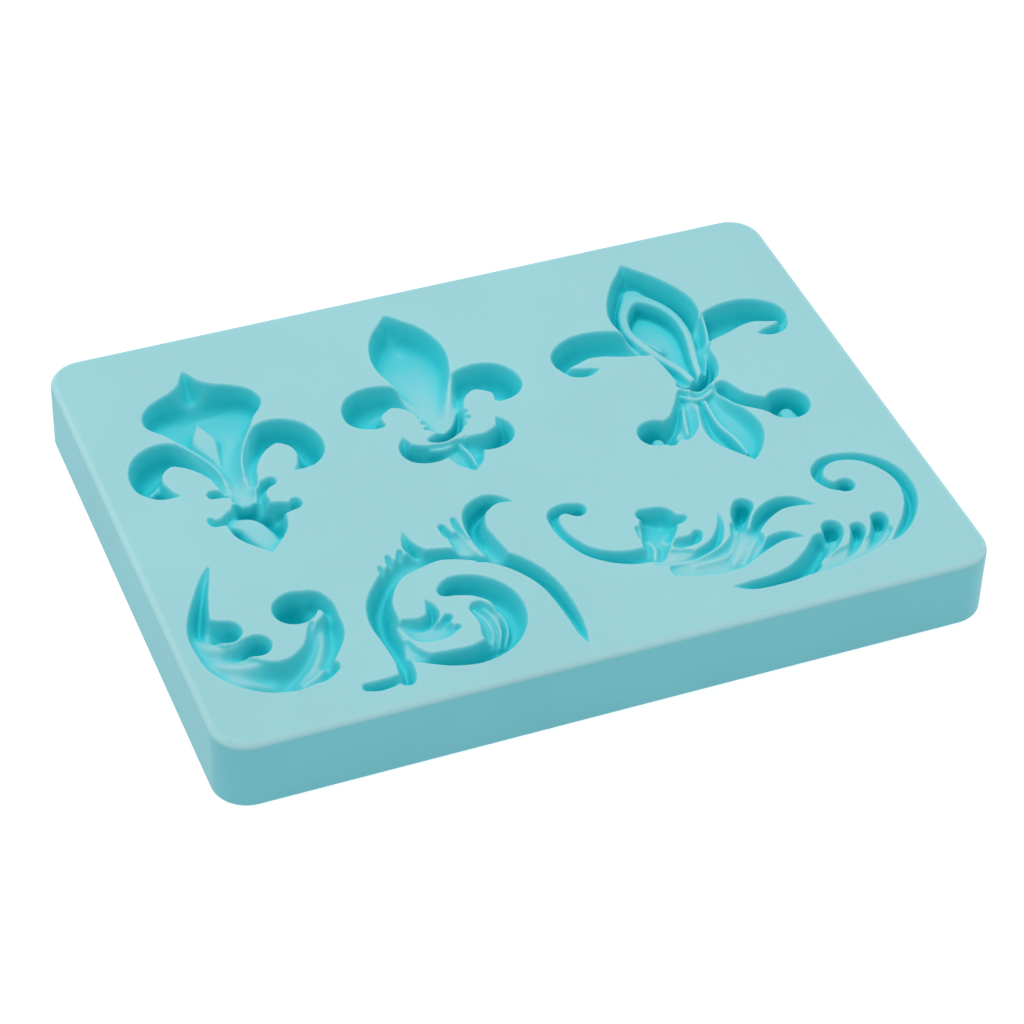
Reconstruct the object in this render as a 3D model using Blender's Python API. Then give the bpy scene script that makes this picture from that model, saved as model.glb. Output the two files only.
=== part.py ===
"""Resin casting mould: one slab of silicone rubber with six ornament cavities open at its top face.

Metres, +Z up. The origin is the middle of the flat underside. The long side runs along X and the
three lilies stand with their tips towards +Y, and three scrolls lie in front of them.
Cavity stations are written in millimetres, because that is how a mould maker reads them.
"""

import math

import bmesh
import bpy
from mathutils import Matrix

MM = 0.001
LENGTH = 127.0 * MM
WIDTH = 95.0 * MM
THICKNESS = 12.7 * MM
CORNER_RADIUS = 5.7 * MM
TOP_ROUNDING = 1.4 * MM
BASE_ROUNDING = 0.5 * MM

CORNER_STEPS = 8
TOP_STEPS = 3
BASE_STEPS = 2
STEPS_PER_SPAN = 2
PIT_SIDES = 16
ABOVE_TOP = 1.0  # mm that a cutter stands proud of the top face
SHARP_EDGE_DEGREES = 30.0
SAME_HEIGHT = 1e-7  # metres
SILICONE_COLOUR = (0.337, 0.651, 0.708, 1.0)

# Each lobe is a trough, given by stations (x, y, half width, depth) along its middle, in mm.
# A lily's stations are counted from its own axis, and lobes in its "pair" list are cut on both sides.
SPADE_LILY = {
    "axis": -42.4,
    "single": {
        "petal": [
            (0.0, 38.3, 0.2, 0.8), (0.0, 36.6, 1.1, 2.8), (0.0, 35.0, 2.4, 3.9), (0.0, 33.4, 5.0, 4.5),
            (0.1, 31.5, 8.1, 4.9), (0.1, 29.5, 9.6, 5.1), (0.1, 27.4, 9.9, 5.2), (0.1, 25.4, 9.1, 5.2),
            (0.1, 23.4, 7.2, 5.1), (0.0, 20.5, 5.6, 4.9), (0.0, 16.5, 3.6, 4.4), (0.0, 12.5, 2.3, 4.0),
            (0.0, 8.5, 2.4, 3.8), (0.0, 5.0, 3.2, 3.6), (0.0, 2.0, 3.6, 3.6),
        ],
        "collar": [
            (-4.6, 7.5, 1.3, 3.2), (-2.5, 6.9, 1.3, 4.4), (0.0, 6.7, 1.3, 4.8), (2.5, 6.9, 1.3, 4.4),
            (4.6, 7.5, 1.3, 3.2),
        ],
        "tail": [
            (0.0, 3.0, 2.4, 3.6), (0.0, 0.0, 2.9, 3.8), (0.0, -3.0, 2.5, 3.6), (0.1, -5.6, 1.8, 3.0),
            (0.2, -7.2, 0.9, 2.0), (0.2, -8.3, 0.2, 0.8),
        ],
    },
    "pair": {
        "curl": [
            (2.1, 8.0, 0.8, 3.2), (2.3, 11.2, 0.9, 3.4), (3.5, 14.0, 1.3, 3.6), (5.8, 17.2, 2.3, 4.2),
            (8.6, 19.2, 3.1, 4.8), (11.4, 18.3, 3.2, 5.2), (13.1, 15.8, 2.9, 5.2),
            (13.4, 12.9, 2.5, 5.0), (12.2, 10.6, 1.8, 4.6), (10.6, 9.4, 0.8, 3.0),
            (9.1, 8.8, 0.2, 1.0),
        ],
        "knob": [
            (0.0, 1.2, 1.4, 4.4), (3.0, 0.9, 1.3, 4.2), (5.6, 0.9, 1.1, 3.8), (6.9, 1.2, 0.9, 3.2),
            (7.1, 2.3, 0.5, 2.0),
        ],
        "tail_side": [
            (2.0, 2.5, 1.3, 3.4), (3.0, 0.0, 1.6, 3.6), (3.4, -2.2, 1.4, 3.2), (3.2, -4.0, 0.9, 2.4),
            (2.9, -5.0, 0.3, 1.2),
        ],
    },
}
PLAIN_LILY = {
    "axis": -6.1,
    "single": {
        "petal": [
            (0.0, 41.2, 0.2, 0.8), (0.0, 39.6, 1.9, 3.0), (0.0, 37.5, 3.8, 4.0), (0.0, 35.0, 5.1, 4.6),
            (0.0, 32.0, 6.1, 4.9), (0.0, 29.5, 6.3, 5.0), (0.0, 27.0, 6.1, 5.0), (0.0, 24.5, 5.2, 4.8),
            (0.0, 21.0, 4.0, 4.5), (0.0, 17.0, 3.2, 4.0), (0.0, 13.0, 2.8, 3.6), (0.0, 9.0, 2.4, 3.4),
        ],
        "collar": [
            (-3.6, 12.6, 1.2, 3.8), (-2.0, 11.2, 1.3, 4.8), (0.0, 10.8, 1.3, 5.2),
            (2.0, 11.2, 1.3, 4.8), (3.6, 12.6, 1.2, 3.8),
        ],
        "tail": [
            (0.0, 7.0, 2.6, 3.6), (0.1, 4.4, 2.9, 3.8), (0.2, 2.6, 2.5, 3.4), (0.2, 0.9, 1.6, 2.6),
            (0.2, -0.7, 0.3, 1.0),
        ],
    },
    "pair": {
        "side_petal": [
            (1.8, 10.5, 0.9, 3.4), (2.9, 14.5, 1.1, 3.6), (3.7, 17.8, 1.7, 3.9), (5.2, 20.2, 2.7, 4.2),
            (7.8, 21.3, 3.1, 4.6), (10.8, 20.4, 3.8, 5.0), (12.3, 18.0, 3.2, 5.0),
            (11.5, 16.0, 2.0, 4.4), (10.2, 14.8, 0.9, 3.0),
        ],
        "lower_curl": [
            (0.0, 5.8, 2.2, 3.8), (3.0, 5.6, 2.3, 4.2), (5.4, 5.4, 2.3, 4.6), (7.2, 6.3, 2.0, 4.6),
            (8.2, 7.9, 1.3, 4.0), (8.0, 9.6, 0.7, 2.4), (7.6, 10.9, 0.2, 1.0),
        ],
    },
}
DOUBLE_LILY = {
    "axis": 36.8,
    "single": {
        "petal": [
            (0.0, 41.0, 0.2, 0.8), (0.0, 39.3, 1.5, 2.4), (0.0, 37.3, 3.4, 3.2), (0.0, 34.8, 5.1, 3.6),
            (0.0, 31.5, 6.8, 3.8), (0.0, 28.3, 7.6, 3.8), (0.0, 25.0, 7.4, 3.8), (0.0, 21.5, 6.2, 3.7),
            (0.0, 17.5, 5.0, 3.6), (0.0, 13.0, 4.1, 3.6), (0.0, 8.0, 4.0, 3.6), (0.0, 4.0, 4.2, 3.6),
        ],
        "inner_petal": [
            (0.0, 34.0, 0.4, 3.8), (0.0, 32.0, 2.0, 5.0), (0.0, 29.5, 3.3, 5.6), (0.0, 27.0, 3.7, 5.6),
            (0.0, 24.0, 3.4, 5.4), (0.0, 20.0, 2.5, 5.0), (0.0, 16.0, 1.6, 4.6), (0.0, 12.5, 0.8, 4.2),
        ],
        "collar": [
            (-4.0, 8.6, 1.0, 3.8), (-2.2, 7.0, 1.2, 5.0), (0.0, 6.6, 1.3, 5.4), (2.4, 7.4, 1.2, 5.0),
            (4.2, 9.4, 1.0, 3.8),
        ],
        "tail_left": [
            (-2.0, 3.0, 1.6, 3.6), (-2.3, -1.5, 1.4, 3.8), (-2.5, -6.0, 1.5, 4.0),
            (-2.0, -9.5, 1.3, 3.6), (-0.9, -12.3, 0.5, 1.8),
        ],
        "tail_right": [
            (1.0, 3.0, 2.0, 3.8), (2.2, -2.0, 2.2, 4.2), (2.8, -6.0, 2.2, 4.2), (2.2, -9.8, 1.7, 3.6),
            (0.7, -12.6, 0.6, 1.8),
        ],
        "left_frond": [
            (-3.4, 3.4, 1.1, 3.0), (-4.6, -0.8, 1.0, 2.8), (-5.6, -3.6, 0.9, 2.4),
            (-8.4, -5.4, 0.5, 1.4),
        ],
        "left_arm": [
            (-3.9, 5.8, 1.3, 3.8), (-5.6, 2.2, 1.4, 4.0), (-7.8, -0.4, 1.7, 4.2),
            (-10.2, -1.4, 2.4, 4.8), (-11.6, -2.6, 2.4, 5.2), (-11.5, -4.6, 1.4, 4.8),
            (-11.3, -5.9, 0.6, 3.0),
        ],
        "right_arm": [
            (3.6, 6.0, 1.7, 4.0), (5.0, 2.2, 1.8, 4.2), (7.2, -0.6, 1.8, 4.4), (9.6, -1.6, 2.4, 4.8),
            (11.0, -1.9, 2.8, 5.2),
        ],
    },
    "pair": {
        "outer_petal": [
            (0.2, 39.0, 0.9, 3.6), (2.4, 36.2, 1.6, 5.2), (4.7, 32.4, 1.7, 5.5), (6.1, 28.6, 1.4, 5.5),
            (6.3, 25.0, 1.1, 5.3), (5.2, 21.0, 1.0, 5.0), (3.8, 16.0, 0.8, 4.6), (3.0, 12.0, 0.6, 4.2),
        ],
        "side_petal": [
            (4.2, 18.2, 2.6, 4.0), (8.3, 21.0, 3.4, 4.6), (12.0, 22.5, 3.5, 5.0),
            (15.4, 22.5, 3.3, 5.2), (18.2, 21.1, 2.8, 5.0), (19.2, 18.8, 1.9, 4.6),
            (18.2, 17.0, 1.4, 4.2), (16.6, 16.2, 1.0, 3.4), (14.4, 16.1, 0.4, 1.6),
        ],
    },
}
SCROLLS = {
    "short_scroll": {
        "band": [
            (-53.0, -8.6, 0.2, 1.0), (-54.3, -11.0, 0.7, 3.0), (-56.2, -14.8, 1.0, 4.2),
            (-57.9, -19.0, 1.5, 4.6), (-58.9, -23.0, 1.7, 4.4), (-58.8, -27.0, 1.9, 4.2),
            (-57.2, -31.0, 2.2, 4.0), (-54.2, -34.0, 2.6, 4.2), (-50.5, -35.2, 3.2, 4.6),
            (-46.8, -34.4, 3.3, 4.6), (-43.4, -31.6, 2.9, 4.4), (-40.6, -28.2, 2.5, 4.4),
            (-38.9, -24.2, 1.4, 4.6), (-39.9, -21.6, 1.7, 5.0), (-42.4, -20.8, 2.4, 5.4),
        ],
        "leaf_top": [(-58.2, -22.6, 1.6, 4.0), (-55.8, -22.4, 2.8, 4.4), (-54.0, -22.6, 1.4, 3.6)],
        "leaf_middle": [(-58.4, -27.6, 1.5, 3.2), (-54.6, -27.6, 1.7, 3.6), (-51.6, -27.8, 2.2, 4.6)],
        "leaf_end": [(-48.0, -36.6, 1.9, 3.6), (-44.6, -36.3, 2.0, 3.6), (-42.2, -35.4, 1.4, 3.0)],
    },
    "round_scroll": {
        "foot": [(-38.8, -41.3, 1.0, 3.6), (-36.4, -41.9, 1.1, 3.6), (-33.4, -42.2, 1.5, 3.4)],
        "stem": [
            (-33.3, -42.3, 1.4, 3.6), (-32.5, -39.5, 1.3, 3.4), (-32.0, -36.0, 1.5, 3.6),
            (-32.3, -32.0, 1.5, 3.8), (-31.7, -27.6, 1.8, 4.0), (-30.2, -23.6, 1.7, 4.0),
            (-28.0, -20.8, 1.5, 3.8), (-25.0, -18.4, 1.9, 3.6), (-21.6, -17.0, 2.0, 3.8),
            (-18.4, -17.2, 1.5, 4.0), (-15.2, -18.4, 1.3, 3.8), (-12.0, -20.3, 1.3, 3.8),
            (-9.0, -22.5, 1.6, 4.0), (-6.9, -25.3, 1.5, 4.0), (-5.2, -29.0, 1.35, 4.0),
            (-4.2, -33.0, 1.3, 4.0), (-3.9, -37.0, 1.1, 4.0), (-4.1, -41.0, 0.8, 3.6),
            (-4.4, -43.8, 0.2, 1.2),
        ],
        "leaf_tip": [
            (-21.6, -16.4, 1.5, 3.8), (-22.3, -14.0, 1.0, 3.8), (-22.1, -12.2, 0.5, 3.0),
            (-21.9, -11.2, 0.2, 1.0),
        ],
        "hook": [
            (-9.4, -21.4, 1.2, 3.2), (-10.3, -17.0, 1.6, 3.8), (-10.8, -13.5, 1.8, 4.2),
            (-9.8, -10.3, 1.7, 4.6), (-7.3, -8.3, 1.4, 4.6), (-5.0, -8.4, 1.0, 4.0),
            (-3.5, -9.8, 0.3, 2.0),
        ],
        "spiral": [
            (-30.0, -37.6, 0.6, 2.6), (-27.0, -39.0, 1.5, 4.0), (-23.5, -40.0, 2.0, 4.6),
            (-19.5, -40.0, 2.0, 4.4), (-16.0, -38.4, 2.2, 4.0), (-13.3, -35.5, 2.4, 4.0),
            (-12.0, -31.8, 2.2, 4.0), (-13.0, -28.0, 2.3, 4.2), (-15.7, -25.9, 2.3, 4.4),
            (-18.8, -25.3, 2.3, 4.6), (-20.6, -25.6, 1.3, 4.2),
        ],
        "frond_top": [
            (-30.4, -30.4, 1.2, 3.0), (-27.2, -31.2, 1.3, 3.2), (-24.4, -30.2, 1.3, 3.8),
            (-23.8, -28.2, 0.8, 3.4), (-24.0, -26.8, 0.3, 1.4),
        ],
        "frond_low": [
            (-28.6, -34.4, 0.8, 2.2), (-25.4, -35.0, 0.9, 2.6), (-22.6, -34.5, 0.8, 2.8),
            (-20.9, -33.4, 0.3, 1.4),
        ],
        "flute": [
            (-18.5, -30.9, 0.6, 2.2), (-17.7, -33.0, 0.9, 3.0), (-17.5, -36.0, 1.0, 3.2),
            (-18.6, -39.0, 1.0, 3.4),
        ],
    },
    "long_scroll": {
        "left_volute": [
            (5.4, -15.2, 1.8, 4.4), (3.6, -14.0, 1.3, 4.2), (1.7, -14.6, 1.2, 4.0),
            (0.9, -17.0, 1.0, 4.0), (1.4, -20.0, 0.9, 3.6), (3.2, -23.5, 1.1, 3.6),
            (5.8, -26.4, 1.4, 3.6), (9.0, -27.5, 1.5, 3.4), (12.0, -27.0, 1.6, 3.0),
            (14.4, -24.0, 1.8, 3.4), (15.9, -20.6, 2.1, 4.2),
        ],
        "clump": [(13.6, -28.0, 1.4, 2.6), (17.2, -25.0, 1.8, 3.4), (19.0, -22.0, 2.0, 4.2)],
        "frond_one": [
            (15.0, -32.5, 0.6, 1.6), (19.0, -32.2, 1.0, 2.6), (22.5, -30.5, 1.1, 3.2),
            (24.8, -27.3, 0.9, 3.4), (25.9, -24.5, 0.6, 3.0), (26.3, -22.6, 0.2, 1.0),
        ],
        "frond_two": [
            (14.0, -34.8, 0.6, 1.8), (18.0, -35.6, 0.8, 2.6), (22.5, -34.5, 0.9, 3.0),
            (25.5, -30.5, 0.9, 3.4), (27.5, -26.5, 1.2, 3.8), (30.0, -23.3, 1.9, 4.4),
        ],
        "frond_three": [
            (22.0, -36.4, 0.5, 1.8), (26.0, -33.4, 0.8, 3.0), (29.0, -29.8, 1.1, 3.6),
            (32.0, -26.4, 1.9, 4.4), (35.8, -24.3, 1.8, 4.4), (39.0, -25.2, 1.1, 3.6),
            (41.6, -26.9, 0.2, 1.2),
        ],
        "frond_four": [
            (28.0, -33.9, 0.6, 2.4), (31.0, -32.4, 1.1, 3.4), (33.5, -31.2, 1.1, 3.6),
            (35.5, -31.9, 0.8, 3.0), (36.7, -33.4, 0.2, 1.0),
        ],
        "body": [
            (20.7, -39.6, 0.2, 1.0), (24.0, -40.3, 1.1, 3.4), (28.0, -40.4, 1.4, 3.8),
            (32.0, -39.8, 1.6, 3.8), (36.0, -38.2, 1.7, 3.8), (39.0, -35.0, 1.9, 4.2),
            (41.8, -32.2, 1.5, 4.0),
        ],
        "lobe_two": [
            (36.0, -40.6, 0.8, 2.4), (41.4, -38.2, 0.9, 3.0), (44.2, -35.2, 1.3, 3.6),
            (45.8, -33.6, 1.0, 3.0),
        ],
        "lobe_three": [
            (40.0, -41.0, 0.5, 1.6), (44.0, -39.3, 0.8, 2.6), (46.5, -36.5, 0.9, 3.0),
            (49.0, -33.4, 1.6, 4.0), (50.2, -32.2, 1.2, 3.6),
        ],
        "right_volute": [
            (48.2, -24.0, 1.7, 4.4), (46.2, -23.6, 1.1, 4.0), (44.9, -21.6, 0.9, 4.0),
            (45.3, -19.3, 1.1, 4.2), (47.3, -17.3, 1.1, 4.2), (50.2, -17.0, 1.1, 4.2),
            (53.4, -18.4, 1.1, 4.2), (56.0, -21.3, 1.1, 4.2), (57.3, -25.0, 1.1, 4.2),
            (56.7, -29.0, 1.1, 4.0), (54.6, -32.7, 1.2, 3.8), (51.6, -36.0, 1.0, 3.6),
            (49.0, -38.3, 0.5, 2.4),
        ],
    },
}

# Round pits (x, y, radius, depth) where a lobe ends in a ball, in mm.
PITS = {
    "double_lily": [(24.4, -1.7, 3.3, 5.2), (48.2, -2.0, 3.9, 5.2)],
    "short_scroll": [(-43.3, -21.7, 3.7, 5.4), (-51.6, -27.8, 2.7, 4.8)],
    "round_scroll": [(-33.3, -42.3, 1.5, 3.6)],
    "long_scroll": [(5.3, -15.1, 1.9, 4.4), (48.1, -24.0, 1.8, 4.4)],
}

# One trough's cross-section, as shares of its half width and depth, from rim to rim.
SECTION = [(-1.0, 0.5), (-0.62, 0.93), (0.62, 0.93), (1.0, 0.5)]


def clear_scene():
    for thing in list(bpy.data.objects):
        bpy.data.objects.remove(thing, do_unlink=True)


def collection(name):
    made = bpy.data.collections.new(name)
    bpy.context.scene.collection.children.link(made)
    return made


def silicone():
    material = bpy.data.materials.new("silicone")
    material.use_nodes = True
    shader = material.node_tree.nodes["Principled BSDF"]
    shader.inputs["Base Color"].default_value = SILICONE_COLOUR
    shader.inputs["Roughness"].default_value = 0.5
    shader.inputs["Metallic"].default_value = 0.0
    return material


def object_from(mesh_maker, name, home):
    mesh = bpy.data.meshes.new(name)
    mesh_maker.to_mesh(mesh)
    mesh_maker.free()
    made = bpy.data.objects.new(name, mesh)
    home.objects.link(made)
    return made


def round_edges(bm, edges, radius, steps):
    bmesh.ops.bevel(bm, geom=edges, offset=radius, segments=steps, profile=0.5, affect="EDGES",
                    clamp_overlap=True, material=-1)


def edges_in_plane(bm, height):
    return [e for e in bm.edges if all(math.isclose(v.co.z, height, abs_tol=SAME_HEIGHT) for v in e.verts)]


def slab():
    """The plain slab: rounded corners, a softer rounding round the top face than round the base."""
    bm = bmesh.new()
    bmesh.ops.create_cube(bm, size=1.0)
    bmesh.ops.scale(bm, verts=bm.verts, vec=(LENGTH, WIDTH, THICKNESS))
    bmesh.ops.translate(bm, verts=bm.verts, vec=(0.0, 0.0, THICKNESS / 2))
    upright = [e for e in bm.edges if abs(e.verts[0].co.z - e.verts[1].co.z) > THICKNESS / 2]
    round_edges(bm, upright, CORNER_RADIUS, CORNER_STEPS)
    round_edges(bm, edges_in_plane(bm, THICKNESS), TOP_ROUNDING, TOP_STEPS)
    round_edges(bm, edges_in_plane(bm, 0.0), BASE_ROUNDING, BASE_STEPS)
    return bm


def between(before, start, end, after, share):
    """A point on the smooth curve from start to end, which keeps the slope of its neighbours."""
    point = []
    for a, b, c, d in zip(before, start, end, after):
        slope, bend, twist = c - a, 2 * a - 5 * b + 4 * c - d, 3 * b - a - 3 * c + d
        point.append(b + 0.5 * share * (slope + share * (bend + share * twist)))
    return tuple(point)


def smooth_stations(stations):
    """The stations with further ones between them, on one smooth curve."""
    padded = [stations[0], *stations, stations[-1]]
    smooth = []
    for before, start, end, after in zip(padded, padded[1:], padded[2:], padded[3:]):
        for step in range(STEPS_PER_SPAN):
            smooth.append(between(before, start, end, after, step / STEPS_PER_SPAN))
    return smooth + [stations[-1]]


def section_points(station, sideways):
    """The corners of the trough at one station, in metres, from above the top face down to its floor."""
    x, y, half_width, depth = station
    corners = [(-1.0, -ABOVE_TOP / depth), *SECTION, (1.0, -ABOVE_TOP / depth)]
    return [
        ((x + sideways[0] * side * half_width) * MM, (y + sideways[1] * side * half_width) * MM,
         THICKNESS - down * depth * MM)
        for side, down in corners
    ]


def trough(stations):
    """One closed trough, lofted from section to section along its stations."""
    bm = bmesh.new()
    smooth = smooth_stations(stations)
    loops = []
    for number, station in enumerate(smooth):
        behind = smooth[max(number - 1, 0)]
        ahead = smooth[min(number + 1, len(smooth) - 1)]
        run = (ahead[0] - behind[0], ahead[1] - behind[1])
        length = math.hypot(*run)
        sideways = (-run[1] / length, run[0] / length)
        corners = [bm.verts.new(point) for point in section_points(station, sideways)]
        loops.append([bm.edges.new((a, b)) for a, b in zip(corners, corners[1:] + corners[:1])])
    for near, far in zip(loops, loops[1:]):
        bmesh.ops.bridge_loops(bm, edges=near + far)
    bmesh.ops.contextual_create(bm, geom=loops[0])
    bmesh.ops.contextual_create(bm, geom=loops[-1])
    bmesh.ops.recalc_face_normals(bm, faces=bm.faces)
    return bm


def pit(x, y, radius, depth):
    """One closed round pit with a bowl-shaped floor."""
    bm = bmesh.new()
    rings = [(1.0, -ABOVE_TOP / depth), *[(side, down) for side, down in SECTION if side > 0.0]]
    for share, down in rings:
        bmesh.ops.create_circle(
            bm, segments=PIT_SIDES, radius=radius * share * MM,
            matrix=Matrix.Translation((x * MM, y * MM, THICKNESS - down * depth * MM)),
        )
    bmesh.ops.convex_hull(bm, input=bm.verts)
    bmesh.ops.delete(bm, geom=[edge for edge in bm.edges if not edge.link_faces], context="EDGES")
    bmesh.ops.recalc_face_normals(bm, faces=bm.faces)
    return bm


def turned(stations, axis, side):
    return [(axis + side * x, y, half_width, depth) for x, y, half_width, depth in stations]


def lily_troughs(lily):
    troughs = [turned(stations, lily["axis"], 1.0) for stations in lily["single"].values()]
    for stations in lily["pair"].values():
        troughs += [turned(stations, lily["axis"], side) for side in (-1.0, 1.0)]
    return troughs


def cutter(name, bm, home):
    made = object_from(bm, name, home)
    made.hide_render = True
    made.display_type = "WIRE"
    return made


def main():
    clear_scene()
    parts = collection("resin_casting_mould")
    cutters = collection("cutters")
    cutters.hide_render = True

    body = object_from(slab(), "mould_body", parts)
    body.data.materials.append(silicone())

    ornaments = {
        "spade_lily": lily_troughs(SPADE_LILY),
        "plain_lily": lily_troughs(PLAIN_LILY),
        "double_lily": lily_troughs(DOUBLE_LILY),
        **{name: list(lobes.values()) for name, lobes in SCROLLS.items()},
    }
    for ornament, troughs in ornaments.items():
        shapes = [trough(stations) for stations in troughs]
        shapes += [pit(*place) for place in PITS.get(ornament, [])]
        for number, shape in enumerate(shapes):
            name = f"{ornament}_{number:02d}"
            cut = body.modifiers.new(name, "BOOLEAN")
            cut.operation = "DIFFERENCE"
            cut.solver = "MANIFOLD"  # a trough that curls tightly overlaps itself, which EXACT refuses
            cut.object = cutter(f"cutter_{name}", shape, cutters)
    body.data.set_sharp_from_angle(angle=math.radians(SHARP_EDGE_DEGREES))


main()
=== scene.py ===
import math

import bmesh
import bpy
import numpy as np
from mathutils import Matrix, Vector


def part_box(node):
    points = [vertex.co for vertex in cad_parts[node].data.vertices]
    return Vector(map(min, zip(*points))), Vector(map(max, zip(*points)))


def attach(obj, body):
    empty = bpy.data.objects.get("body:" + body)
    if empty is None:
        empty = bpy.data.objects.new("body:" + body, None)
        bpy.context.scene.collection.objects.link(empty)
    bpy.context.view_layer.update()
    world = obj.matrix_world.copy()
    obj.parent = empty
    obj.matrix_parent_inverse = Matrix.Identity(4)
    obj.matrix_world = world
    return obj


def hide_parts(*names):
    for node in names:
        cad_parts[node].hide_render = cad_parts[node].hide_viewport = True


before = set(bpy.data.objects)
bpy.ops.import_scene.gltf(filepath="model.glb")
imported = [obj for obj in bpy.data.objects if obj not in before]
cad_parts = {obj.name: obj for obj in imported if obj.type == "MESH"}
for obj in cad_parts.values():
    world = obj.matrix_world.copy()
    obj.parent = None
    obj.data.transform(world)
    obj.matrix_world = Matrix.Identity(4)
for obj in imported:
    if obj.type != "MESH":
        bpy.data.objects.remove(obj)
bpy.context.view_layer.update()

# The mould is drawn in millimetres, as its maker would, and made in metres.
MM = 0.001
low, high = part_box("mould_body")
LENGTH, WIDTH, THICKNESS = [(high[i] - low[i]) / MM for i in range(3)]
CORNER_RADIUS = 5.7
TOP_ROUNDING = 1.35
BASE_ROUNDING = 0.5
RIM_BAND = 2.0         # the slab's sides and their rounded edges lie within this of its outline
UNDERSIDE_BAND = 1.0

# Painted light and shade: a place's level sets its colour, from 0 for the painted shade on the sides,
# through a painted highlight on the top edge and the plain top, to 1 for the darkest painted shade in the
# deepest crease.
SIDE_PAINTED_SHADE, TOP_EDGE_PAINTED_HIGHLIGHT, OPEN_TOP, HALF_PAINTED_SHADE, DEEP_PAINTED_SHADE, CREASE_PAINTED_SHADE = 0.0, 0.05, 0.1, 0.37, 0.66, 0.92
COLOURS = {
    SIDE_PAINTED_SHADE: (0.142, 0.44, 0.495),
    TOP_EDGE_PAINTED_HIGHLIGHT: (0.30, 0.525, 0.55),
    OPEN_TOP: (0.238, 0.471, 0.501),
    HALF_PAINTED_SHADE: (0.09, 0.488, 0.543),
    DEEP_PAINTED_SHADE: (0.035, 0.512, 0.574),
    CREASE_PAINTED_SHADE: (0.001, 0.41, 0.475),
}
SKY_DIRECTIONS = 8
SKY_REACHES = (0.3, 0.6, 1.0, 1.6, 2.4, 3.4, 4.8, 6.5)  # places along each direction that may hide the sky
CREASE_REACH = 0.7     # a crease lies deeper than what is this far round it
CREASE_LIMIT = 0.4
CREASE_SHADE = 0.35    # creases get more painted shade,
WALL_SHADE = 0.22      # and so do steep walls

# Shape of the cavities, in millimetres.
GRID = 0.19
STATION_SPACING = 0.15
OUTSIDE = 0.6          # how far the cavity form rises above the top face beyond its rim
FAR_OUTSIDE = -3.0     # distance inward of the places that a lobe doesn't reach
LEAST_HALF_WIDTH = 0.05
LEAST_FLOOR = 0.2
LEAST_TROUGH = 0.3
LIP_WIDTH = 0.8        # the rounded lip, measured inwards from the rim
LIP_SLOPE = 0.5        # slope of the lip where it leaves the top face
WALL_SLOPE = 5.0       # steepness of the cavity wall
CREST_ROUNDING = 0.15  # softness of the crest between two lobes
SHARP_DEPTH = 0.4      # down to here the walls keep their shape when the floors are softened
CREASE_ROUNDING = 0.4  # roundness of a lobe's middle, as a share of its half width
MOST_TRIANGLES = 190000


def smooth(stations, spacing=STATION_SPACING):
    """The stations with closely spaced ones between them, on one smooth curve through all of them."""
    points = np.array(stations, float)
    padded = np.vstack([points[:1], points, points[-1:]])
    runs = []
    for before, start, end, after in zip(padded, padded[1:], padded[2:], padded[3:]):
        count = max(2, round(float(np.hypot(*(end - start)[:2])) / spacing))
        share = np.arange(count)[:, None] / count
        runs.append(0.5 * (2 * start + (end - before) * share
                           + (2 * before - 5 * start + 4 * end - after) * share ** 2
                           + (3 * start - before - 3 * end + after) * share ** 3))
    return np.vstack([*runs, points[-1:]])


def softly_higher(first, second, softness):
    """The higher of two values, eased where they come close."""
    return 0.5 * (first + second + np.sqrt((first - second) ** 2 + softness ** 2))


def wall_depth(inward):
    """Depth of the rounded lip and the wall, a distance inward from the rim."""
    steeper = WALL_SLOPE - LIP_SLOPE
    lip = LIP_SLOPE * inward + steeper * np.clip(inward, 0, LIP_WIDTH) ** 2 / (2 * LIP_WIDTH)
    return lip + steeper * np.maximum(inward - LIP_WIDTH, 0)


def rounded_inward(half_width, away):
    """Distance inward from a lobe's rim, without a hard crease along the lobe's middle."""
    crease = CREASE_ROUNDING * np.maximum(half_width, 0)
    rounded = np.hypot(half_width, crease) - np.hypot(away, crease)
    return np.where(half_width > 0, rounded, half_width - away)


def neighbours(values):
    """The mean of the four neighbours of each value on a grid."""
    return sum(np.roll(values, step, axis) for step in (-1, 1) for axis in (0, 1)) / 4


def rounds_to_spread(reach):
    """How many rounds of mixing with the neighbours carry a value this far, in millimetres."""
    return round(4 * (reach / GRID) ** 2)


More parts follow.
